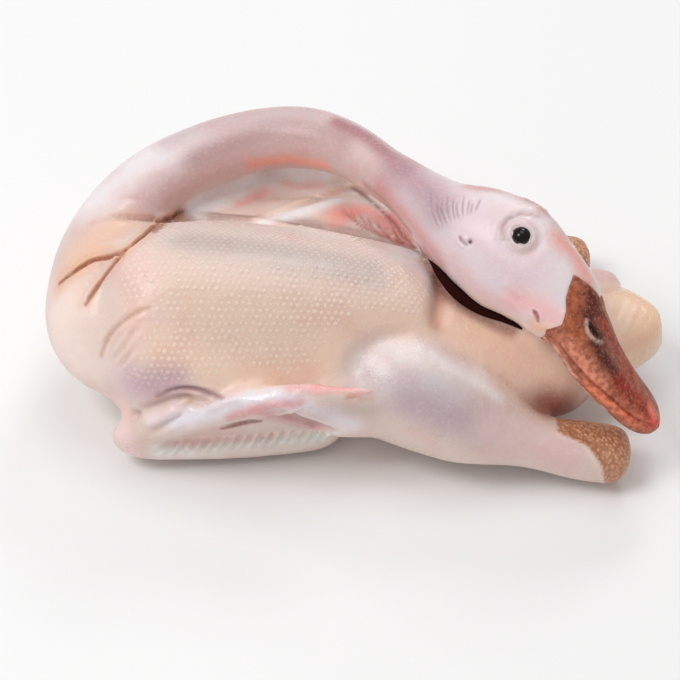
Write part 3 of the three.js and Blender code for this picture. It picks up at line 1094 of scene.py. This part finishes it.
def make_crease_shade(skin):
    """A dark roll laid in the crease as painted shade, thick where the crease gapes."""
    start = np.array(camera_place())
    places = []
    for u, v in CREASE_LINE:
        # The dark roll lies as deep as the belly just beside it, and not on the head
        body = skin.cast((u + BESIDE_CREASE[0], v + BESIDE_CREASE[1]))[0]
        places.append(start + np.array(pixel_ray(u, v)) * np.linalg.norm(body - start))
    return tube("crease", places, [radius * MM for radius in CREASE_RADII])


# Eyes and eyelids

EYE_RADIUS = 4.3 * MM
EYE_SUNK = 2.3 * MM
EYE_WHITE = "4a2a24"
IRIS_COLOUR = "120b0a"
IRIS_REACH = 0.62
IRIS_BLUR = 0.06
FAR_EYE_START = 3
LID_RADIUS = 0.55 * MM
LID_OUTLINE = [
    (511.5, 230.5), (516.5, 227.5), (522, 226.5), (528, 229), (531.5, 234.5),
    (530, 241), (526.5, 246), (520.5, 244), (515, 239.5),
]


def far_eye_place(skin, near_eye, outward):
    """The point and the normal of the skin across the head from the near eye."""
    head_middle = np.array(HEAD_LINE[3]) * MM
    across = np.array(BILL_SIDE) * np.sign(np.dot(BILL_SIDE, outward))
    reach = (near_eye - head_middle) @ across
    start = Vector(near_eye - FAR_EYE_START * reach * across)
    point, normal, _, _ = skin.tree.ray_cast(start, Vector(across))
    return point, normal


def make_eye(name, surface, outward):
    """An eyeball sunk in the skin, its iris facing outward."""
    mesh = bpy.data.meshes.new(name)
    form = bmesh.new()
    bmesh.ops.create_uvsphere(form, u_segments=40, v_segments=24, radius=EYE_RADIUS)
    turn = Vector(outward).to_track_quat("Z", "Y").to_matrix().to_4x4()
    bmesh.ops.transform(form, matrix=turn, verts=form.verts)
    centre = Vector(surface) - Vector(outward) * EYE_SUNK
    bmesh.ops.translate(form, vec=centre, verts=form.verts)
    form.to_mesh(mesh)
    form.free()
    facing = np.array([(v.co - centre).normalized().dot(Vector(outward)) for v in mesh.vertices])
    iris = eased((facing - IRIS_REACH) / IRIS_BLUR)
    tint = linear(EYE_WHITE) + (linear(IRIS_COLOUR) - linear(EYE_WHITE)) * iris[:, None]
    write_tint(mesh, tint)
    mesh.shade_smooth()
    return linked(name, mesh)


def tube(name, points, radii, closed=False):
    """A round tube through some points, with a radius at each."""
    curve = bpy.data.curves.new(name, "CURVE")
    curve.dimensions = "3D"
    curve.bevel_depth = 1
    curve.bevel_resolution = 4
    curve.use_fill_caps = True
    spline = curve.splines.new("NURBS")
    spline.points.add(len(points) - 1)
    for point, place, radius in zip(spline.points, points, radii):
        point.co = (*place, 1)
        point.radius = radius
    spline.use_cyclic_u = closed
    spline.use_endpoint_u = not closed
    spline.order_u = 4
    spline.resolution_u = 6
    shown = linked(name + "_path", curve)
    graph = bpy.context.evaluated_depsgraph_get()
    mesh = bpy.data.meshes.new_from_object(shown.evaluated_get(graph))
    bpy.data.objects.remove(shown)
    bpy.data.curves.remove(curve)
    mesh.materials.clear()
    mesh.shade_smooth()
    return linked(name, mesh)


# Follicles: small domes in rows round the body, where the skin was feathered

FOLLICLE_ROWS_APART = 2.35 * MM
FOLLICLE_COLUMNS_APART = 2.65 * MM
FOLLICLE_RADIUS = 1.35 * MM
FOLLICLE_HEIGHT = 0.4 * MM
FOLLICLE_SUNK = 0.74
FOLLICLE_SIZES = (0.85, 1.1)
FOLLICLE_UNEVEN = 0.07
FOLLICLE_SEED = 7
TRUNK_AXIS_Z = 34 * MM
TRUNK_AXIS_Y = -16 * MM
TRUNK_ROUND = 46 * MM
CLEAR_OF_TRUNK = 0.3
FEATHERED_X = (-92 * MM, 86 * MM)
FEATHERED_ANGLE = math.radians(105)
# What bears no follicles: (line through points inside, or line of pixels; reach in millimetres)
BARE_LIMBS = [(NECK_LINE, 24), (HEAD_LINE, 26), (BILL_LINE, 22), (HOCK_LINE, 22)]
BARE_PATCHES = [
    (HAND_TOP, 9),
    (HAND_UNDER, 9),
    (PLUME_MIDDLE, 14),
    (WEB_EDGE, 6),
    ([(130, 440), (150, 425)], 14),
    ([(62, 310), (70, 345), (100, 385)], 17),
    (NECK_FOLD, 6),
    (BREAST_EDGE, 5),
    *((wrinkle, 4) for wrinkle in WRINKLES_BY_SHOULDER),
    (HEAD_GAP, 8),
    ([(385, 375), (430, 385), (480, 410), (530, 430)], 27),
    ([(470, 335), (520, 360), (570, 390)], 22),
    ([(262, 391), (320, 384), (372, 392)], 7),
]


def bare_cover(skin):
    """1 where the skin has no follicles: neck, head, bill, shanks, wings and front."""
    bare = skin.horn.copy()
    for line, reach in BARE_LIMBS:
        bare = np.maximum(bare, distances_to_line(skin.co, line) < reach * MM)
    for line, reach in BARE_PATCHES:
        bare[skin.near(line, reach * MM)[0]] = 1
    return bare


def follicle_places(skin, bare):
    """Points on the skin in staggered rows round the body, with normals, sizes and tints."""
    draw = np.random.default_rng(FOLLICLE_SEED)
    places, normals, tints = [], [], []
    columns = int((FEATHERED_X[1] - FEATHERED_X[0]) / FOLLICLE_COLUMNS_APART)
    rows = int(2 * FEATHERED_ANGLE * TRUNK_ROUND / FOLLICLE_ROWS_APART)
    for i in range(columns):
        for j in range(rows):
            shift = draw.normal(0, FOLLICLE_UNEVEN, 2)
            x = FEATHERED_X[0] + (i + 0.5 * (j % 2) + shift[0]) * FOLLICLE_COLUMNS_APART
            angle = -FEATHERED_ANGLE + (j + shift[1]) * FOLLICLE_ROWS_APART / TRUNK_ROUND
            out = Vector((0, math.sin(angle), math.cos(angle)))
            start = Vector((x, TRUNK_AXIS_Y, TRUNK_AXIS_Z)) + out * CLEAR_OF_TRUNK
            point, _, face, _ = skin.tree.ray_cast(start, -out)
            if point is None:
                continue
            corner = skin.triangles[face][0]
            if bare[corner] > 0.5:
                continue
            places.append(point - Vector(skin.normals[corner]) * FOLLICLE_HEIGHT * FOLLICLE_SUNK)
            normals.append(skin.normals[corner])
            tints.append(skin.tint[corner])
    sizes = draw.uniform(*FOLLICLE_SIZES, len(places))
    return np.array(places), np.array(normals), sizes, np.array(tints)


def named(tree, name, data_type):
    """A value that the points carry under a name."""
    values = {"Name": name}
    return node(tree, "GeometryNodeInputNamedAttribute", values, data_type=data_type).outputs["Attribute"]


def dome_tree(material):
    """Puts a flat dome on every point, along its normal, in its own size."""
    tree = bpy.data.node_groups.new("domes", "GeometryNodeTree")
    face = tree.interface
    face.new_socket("Geometry", in_out="INPUT", socket_type="NodeSocketGeometry")
    face.new_socket("Dome radius", in_out="INPUT", socket_type="NodeSocketFloat")
    face.new_socket("Dome height", in_out="INPUT", socket_type="NodeSocketFloat")
    face.new_socket("Geometry", in_out="OUTPUT", socket_type="NodeSocketGeometry")
    given = node(tree, "NodeGroupInput").outputs
    ball = node(tree, "GeometryNodeMeshIcoSphere", {"Radius": 1.0, "Subdivisions": 2}).outputs["Mesh"]
    size = {"X": given["Dome radius"], "Y": given["Dome radius"], "Z": given["Dome height"]}
    flat = node(tree, "ShaderNodeCombineXYZ", size).outputs[0]
    dome = node(tree, "GeometryNodeTransform", {"Geometry": ball, "Scale": flat}).outputs[0]
    smooth = node(tree, "GeometryNodeSetShadeSmooth", {"Geometry": dome}).outputs[0]
    place = node(tree, "GeometryNodeInputPosition").outputs[0]
    height = node(tree, "ShaderNodeSeparateXYZ", {0: place}).outputs["Z"]
    values = {0: height, 1: given["Dome height"]}
    crest = node(tree, "ShaderNodeMath", values, operation="DIVIDE").outputs[0]
    values = {"Geometry": smooth, "Name": "crest", "Value": crest}
    settings = {"data_type": "FLOAT", "domain": "POINT"}
    crested = node(tree, "GeometryNodeStoreNamedAttribute", values, **settings).outputs[0]
    along = {"Vector": named(tree, "out", "FLOAT_VECTOR")}
    turned = node(tree, "FunctionNodeAlignRotationToVector", along, axis="Z").outputs[0]
    values = {
        "Points": given["Geometry"],
        "Instance": crested,
        "Rotation": turned,
        "Scale": named(tree, "size", "FLOAT"),
    }
    domes = node(tree, "GeometryNodeInstanceOnPoints", values).outputs[0]
    plain = node(tree, "GeometryNodeRealizeInstances", {"Geometry": domes}).outputs[0]
    done = node(tree, "GeometryNodeSetMaterial", {"Geometry": plain, "Material": material}).outputs[0]
    node(tree, "NodeGroupOutput", {"Geometry": done})
    return tree


def make_domes(name, places, normals, sizes, tints, material):
    """One plain mesh of all the domes."""
    mesh = bpy.data.meshes.new(name)
    mesh.from_pydata(places.tolist(), [], [])
    out = mesh.attributes.new("out", "FLOAT_VECTOR", "POINT")
    out.data.foreach_set("vector", normals.astype(np.float32).ravel())
    write_number(mesh, "size", sizes)
    write_tint(mesh, tints)
    piece = linked(name, mesh)
    tree = dome_tree(material)
    domes = piece.modifiers.new("domes", "NODES")
    domes.node_group = tree
    measures = {"Dome radius": FOLLICLE_RADIUS, "Dome height": FOLLICLE_HEIGHT}
    for socket in tree.interface.items_tree:
        if socket.name in measures:
            domes[socket.identifier] = measures[socket.name]
    return with_modifiers_applied(piece)


# Floor and light

FLOOR_HALF_WIDTH = 6
SKY_STRENGTH = 0.44
# Lights: (place, width of the square, power)
LIGHTS = {
    "key": ((-0.75, -0.35, 1.25), 0.6, 8.8),
    "back": ((0.35, 1.0, 1.0), 0.4, 3.4),
    "top": ((0.1, 0.25, 1.5), 0.8, 4.0),
}


def make_floor():
    mesh = bpy.data.meshes.new("floor")
    form = bmesh.new()
    bmesh.ops.create_grid(form, x_segments=1, y_segments=1, size=FLOOR_HALF_WIDTH)
    form.to_mesh(mesh)
    form.free()
    floor = linked("floor", mesh)
    floor.data.materials.append(plain_material("pale_floor", "f7f7f7", 0.9))
    return floor


def area_light(name, place, size, power):
    """A square light that looks at the bird."""
    data = bpy.data.lights.new(name, "AREA")
    data.size = size
    data.energy = power
    light = bpy.data.objects.new(name, data)
    light.location = place
    light.rotation_mode = "QUATERNION"
    light.rotation_quaternion = (VIEW_TARGET - Vector(place)).to_track_quat("-Z", "Y")
    bpy.context.scene.collection.objects.link(light)


def make_light():
    world = bpy.data.worlds.new("studio")
    bpy.context.scene.world = world
    world.use_nodes = True
    sky = world.node_tree.nodes["Background"]
    sky.inputs["Color"].default_value = (1, 1, 1, 1)
    sky.inputs["Strength"].default_value = SKY_STRENGTH
    for name, (place, size, power) in LIGHTS.items():
        area_light(name, place, size, power)
    bpy.context.scene.view_settings.view_transform = "Standard"
    bpy.context.scene.view_settings.look = "None"


# The whole bird

SKIN_SHAPES = (
    shape_neck_base,
    shape_shoulder,
    shape_breast,
    shape_far_side,
    shape_head,
    shape_near_wing,
    shape_legs_and_tail,
)


def add(piece, material):
    """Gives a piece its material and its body."""
    if not piece.data.materials:
        piece.data.materials.append(material)
    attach(piece, "root")
    return piece


def add_eyes(near_eye, far_eye, lid_points):
    wet_eye = eye_material()
    add(make_eye("eye_near", *near_eye), wet_eye)
    add(make_eye("eye_far", *far_eye), wet_eye)
    lid = tube("eyelid_near", lid_points, [LID_RADIUS] * len(lid_points), closed=True)
    add(lid, plain_material("eyelid", "d9c3c2", 0.4, 0.3))


def add_follicles(places):
    material = follicle_material()
    add(make_domes("follicles", *places, material), material)


def main():
    make_camera()
    skin = make_skin()
    near_eye = skin.cast(EYE)
    far_eye = far_eye_place(skin, *near_eye)
    lid_points = skin.line(LID_OUTLINE)[0]
    crease = make_crease_shade(skin)
    horn = split_horn(skin)

    for shape in SKIN_SHAPES:
        shape(skin)
    skin.smooth(1, share=0.25)
    skin.refresh()
    shape_bill(horn)
    paint_skin(skin)
    paint_bill(horn)
    follicles = follicle_places(skin, bare_cover(skin))

    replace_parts(add(skin.finish(), skin_material()), "duck")
    add(horn.finish(), horn_material())
    add_follicles(follicles)
    add_eyes(near_eye, far_eye, lid_points)
    # A nearly black roll in the crease under the head: painted shade
    add(crease, plain_material("crease_painted_shade", "2a0a06", 0.85, specular=0.1))

    make_floor()
    make_light()


main()
